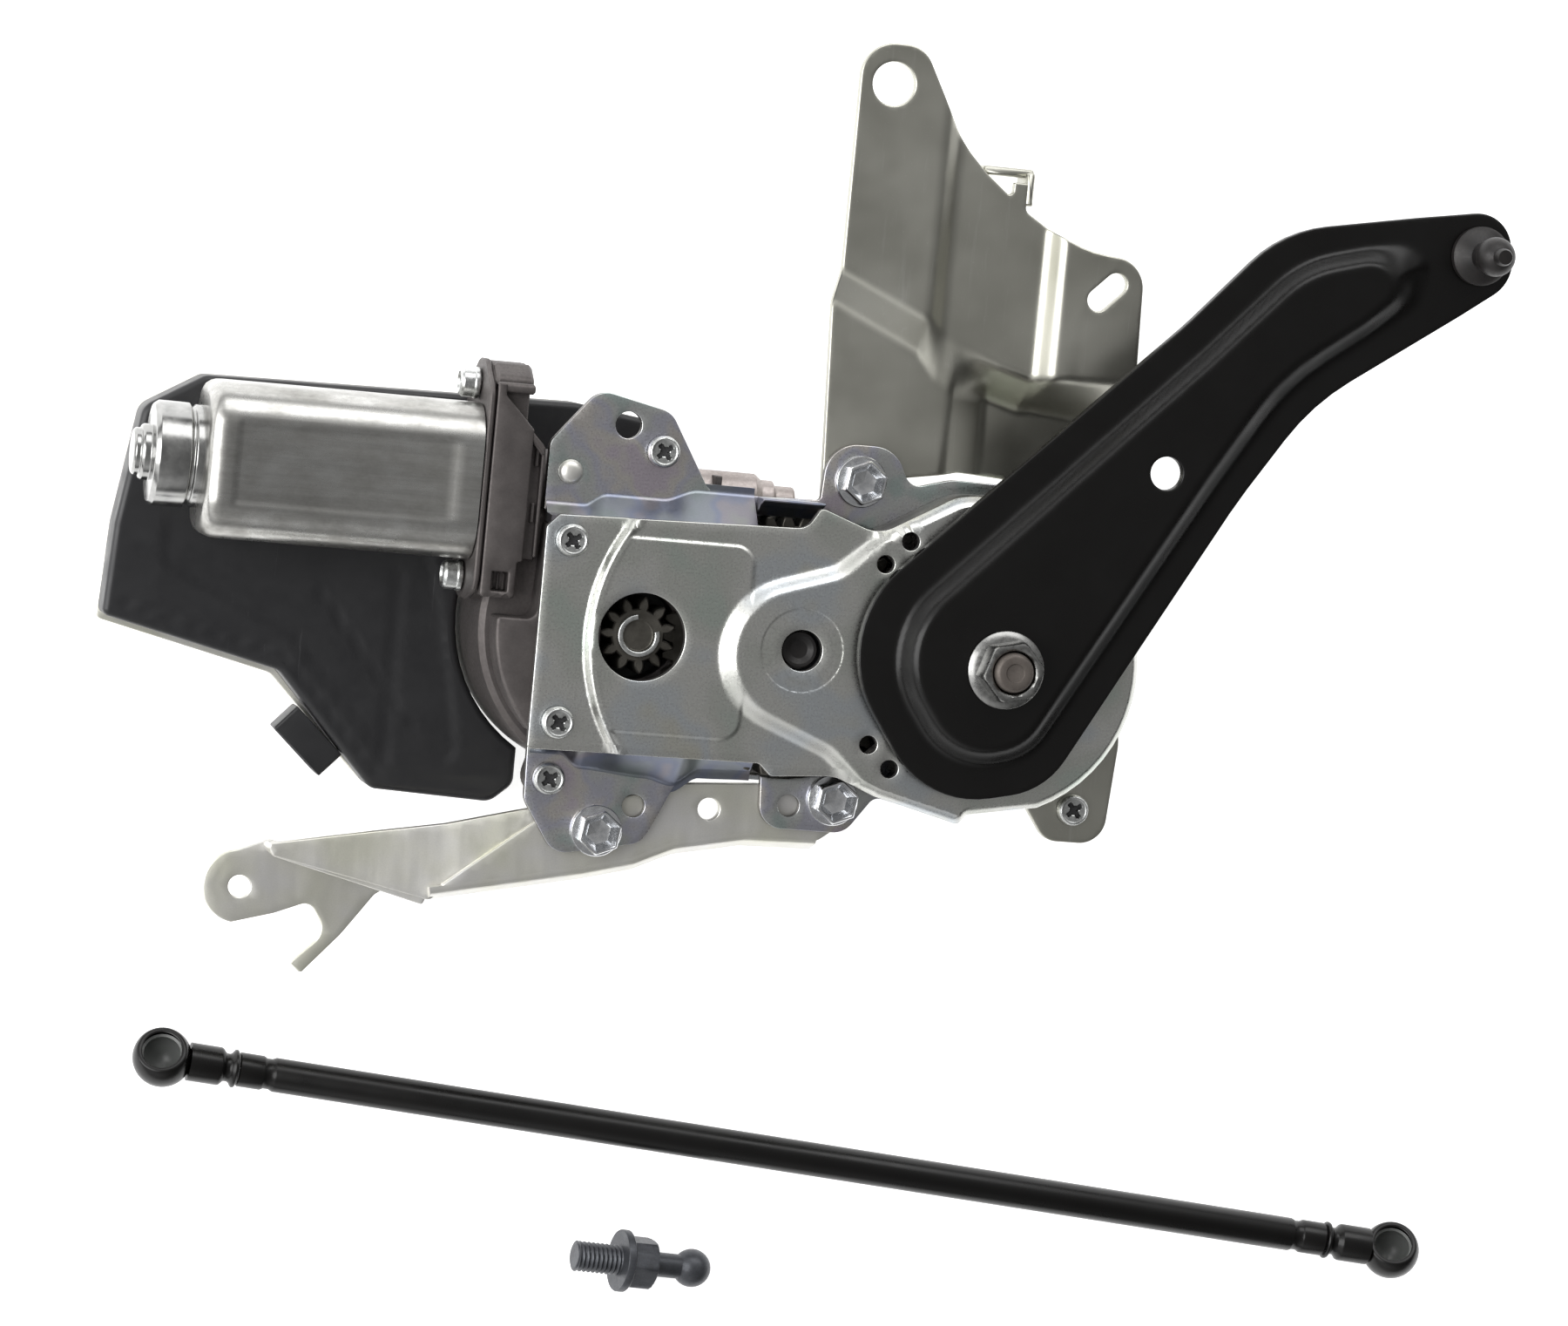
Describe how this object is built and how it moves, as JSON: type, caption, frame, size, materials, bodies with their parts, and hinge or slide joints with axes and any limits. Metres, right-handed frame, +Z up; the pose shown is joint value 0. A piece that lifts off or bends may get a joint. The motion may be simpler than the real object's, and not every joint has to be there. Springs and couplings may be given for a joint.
{
  "type": "power liftgate drive unit",
  "caption": "Geared motor drive in a pressed-steel case with fixing brackets and a swinging output arm, with its loose connecting rod and ball stud.",
  "frame": {"origin": "under the middle of the whole kit, at the table", "axes": "+X along the motor and the length of the kit, from the motor towards the output arm; +Y towards the upper bracket; +Z up, along the output shaft"},
  "size_m": [0.3676, 0.3266, 0.0846],
  "materials": {
    "zinc_plated_sheet": "zinc plated pressed steel, satin, faintly iridescent",
    "galvanised_sheet": "galvanised pressed steel, warm grey, satin",
    "pale_zinc": "pale passivated zinc, satin",
    "bright_steel": "bright zinc plated steel",
    "casting": "die casting, dark brown-grey, matt",
    "drawn_steel": "drawn steel can, satin, faintly stained",
    "sintered_steel": "oiled sintered steel, dark",
    "dark_steel": "phosphated steel, dark grey",
    "bronze": "sintered bronze",
    "copper_winding": "enamelled copper winding",
    "black_coat": "black electrophoretic paint, semi-gloss",
    "magnet": "ferrite, matt black",
    "black_plastic": "black moulded plastic, satin",
    "grey_plastic": "grey acetal",
    "board": "green circuit board"
  },
  "bodies": {
    "drive_unit": {"front_case": "zinc_plated_sheet", "gear_case": "zinc_plated_sheet", "rear_case": "zinc_plated_sheet", "clutch_housing": "casting", "clutch_cover": "zinc_plated_sheet", "clutch_coil": "copper_winding", "intermediate_pin": "dark_steel", "front_bush": "bronze", "rear_bearing_cup": "zinc_plated_sheet", "rear_bush": "bronze", "motor_can": "drawn_steel", "motor_end_bell": "casting", "motor_screw_upper": "bright_steel", "motor_screw_lower": "bright_steel", "magnet_upper": "magnet", "magnet_lower": "magnet", "module_cover": "black_plastic", "module_base": "pale_zinc", "circuit_board": "board", "module_connector": "black_plastic", "upper_bracket": "galvanised_sheet", "lower_bracket": "pale_zinc", "cover_screw_upper": "bright_steel", "cover_screw_lower": "bright_steel", "ear_screw_upper": "bright_steel", "ear_screw_lower": "bright_steel", "foot_screw": "bright_steel", "hex_bolt_lower_left": "bright_steel", "weld_nut_lower_left": "zinc_plated_sheet", "hex_bolt_lower_right": "bright_steel", "weld_nut_lower_right": "zinc_plated_sheet", "hex_bolt_upper": "bright_steel", "weld_nut_upper": "zinc_plated_sheet", "ear_rivet": "bright_steel"},
    "output_arm": {"output_arm": "black_coat", "output_shaft": "dark_steel", "sector_gear": "sintered_steel", "arm_nut": "bright_steel", "arm_ball_stud": "dark_steel"},
    "intermediate": {"intermediate_gear": "sintered_steel", "intermediate_pinion": "dark_steel"},
    "clutch_output": {"pinion_shaft": "sintered_steel", "snap_ring": "bright_steel", "clutch_rotor": "dark_steel"},
    "worm_wheel": {"worm_wheel": "grey_plastic", "clutch_armature": "dark_steel"},
    "motor_rotor": {"motor_shaft": "dark_steel", "armature_core": "copper_winding", "commutator": "copper_winding"},
    "connecting_rod": {"rod_tube": "black_coat", "rod_socket_left": "black_coat", "rod_socket_right": "black_coat", "socket_liner_left": "grey_plastic", "socket_liner_right": "grey_plastic"},
    "ball_stud": {"loose_ball_stud": "dark_steel"}
  },
  "joints": [
    {"name": "arm_swing", "type": "hinge", "parent": "drive_unit", "child": "output_arm", "pos_m": [0.03625, 0.01031, 0.05], "axis": [0, 0, 1], "range_deg": [-50, 40]},
    {"name": "intermediate_spin", "type": "hinge", "parent": "drive_unit", "child": "intermediate", "pos_m": [-0.01375, 0.01031, 0.045], "axis": [0, 0, 1], "range_deg": [-80, 100]},
    {"name": "clutch_output_spin", "type": "hinge", "parent": "drive_unit", "child": "clutch_output", "pos_m": [-0.05425, 0.01031, 0.04], "axis": [0, 0, 1], "range_deg": [-385, 310]},
    {"name": "motor_spin", "type": "hinge", "parent": "drive_unit", "child": "motor_rotor", "pos_m": [-0.11375, 0.04456, 0.033], "axis": [1, 0, 0], "continuous": true},
    {"name": "worm_wheel_spin", "type": "hinge", "parent": "drive_unit", "child": "worm_wheel", "pos_m": [-0.05425, 0.01031, 0.033], "axis": [0, 0, 1], "continuous": true},
    {"name": "rod_lift", "type": "slide", "parent": "drive_unit", "child": "connecting_rod", "axis": [0, 0, 1], "range_m": [0, 0.06]},
    {"name": "stud_lift", "type": "slide", "parent": "drive_unit", "child": "ball_stud", "axis": [0, 0, 1], "range_m": [0, 0.06]}
  ],
  "couplings": [
    {"joint": "intermediate_spin", "follows": "arm_swing", "ratio": -1.9412},
    {"joint": "clutch_output_spin", "follows": "arm_swing", "ratio": 7.5882},
    {"joint": "worm_wheel_spin", "follows": "motor_spin", "ratio": 0.021739}
  ]
}
